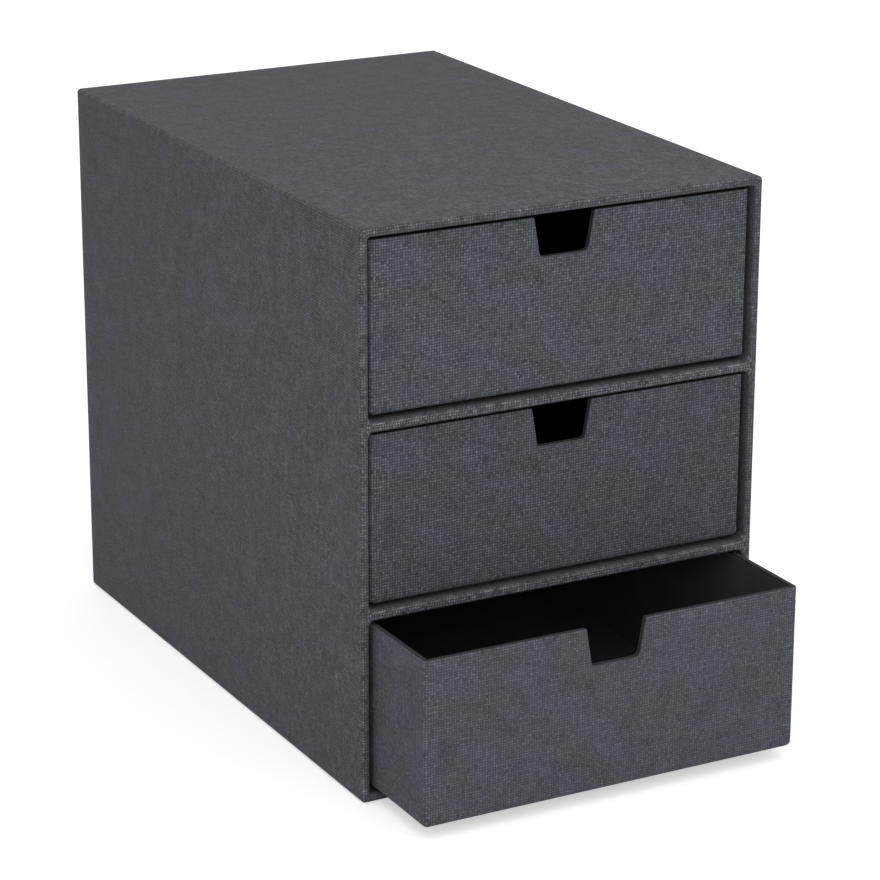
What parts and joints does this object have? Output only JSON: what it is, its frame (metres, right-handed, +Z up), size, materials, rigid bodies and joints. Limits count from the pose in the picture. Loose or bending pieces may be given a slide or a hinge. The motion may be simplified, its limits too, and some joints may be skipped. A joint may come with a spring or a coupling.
{
  "type": "drawer storage box",
  "caption": "Upright desk storage box of board covered in canvas-embossed paper, with stacked open-top drawers, each with a trapezoid finger notch, that slide out of the front.",
  "frame": {"origin": "on the floor, under the middle of the case (the drawers left out)", "axes": "+Z up, +Y from the open front towards the back, +X to the right as seen from the front"},
  "size_m": [0.178, 0.3146, 0.232],
  "materials": {
    "canvas_paper": "matt dark grey, embossed like plain-woven canvas",
    "black_paper": "matt black, smooth",
    "black_board": "matt black, cut edges slightly fibrous"
  },
  "bodies": {
    "case": {"case_top_board": "black_board", "case_bottom_board": "black_board", "case_left_board": "black_board", "case_right_board": "black_board", "case_back_board": "black_board", "case_cover_sheet": "canvas_paper", "case_back_sheet": "canvas_paper", "case_base_sheet": "black_paper", "shelf_upper_board": "black_board", "shelf_upper_edge_strip": "canvas_paper", "shelf_lower_board": "black_board", "shelf_lower_edge_strip": "canvas_paper"},
    "drawer_1": {"drawer_1_front_board": "black_board", "drawer_1_back_board": "black_board", "drawer_1_left_board": "black_board", "drawer_1_right_board": "black_board", "drawer_1_bottom_board": "black_board", "drawer_1_cover_sheet": "canvas_paper", "drawer_1_base_sheet": "black_paper", "drawer_1_lining": "black_paper"},
    "drawer_2": {"drawer_2_front_board": "black_board", "drawer_2_back_board": "black_board", "drawer_2_left_board": "black_board", "drawer_2_right_board": "black_board", "drawer_2_bottom_board": "black_board", "drawer_2_cover_sheet": "canvas_paper", "drawer_2_base_sheet": "black_paper", "drawer_2_lining": "black_paper"},
    "drawer_3": {"drawer_3_front_board": "black_board", "drawer_3_back_board": "black_board", "drawer_3_left_board": "black_board", "drawer_3_right_board": "black_board", "drawer_3_bottom_board": "black_board", "drawer_3_cover_sheet": "canvas_paper", "drawer_3_base_sheet": "black_paper", "drawer_3_lining": "black_paper"}
  },
  "joints": [
    {"name": "drawer_1_slide", "type": "slide", "parent": "case", "child": "drawer_1", "axis": [0, -1, 0], "range_m": [0, 0.272]},
    {"name": "drawer_2_slide", "type": "slide", "parent": "case", "child": "drawer_2", "axis": [0, -1, 0], "range_m": [0, 0.272]},
    {"name": "drawer_3_slide", "type": "slide", "parent": "case", "child": "drawer_3", "axis": [0, -1, 0], "range_m": [-0.044, 0.228]}
  ]
}
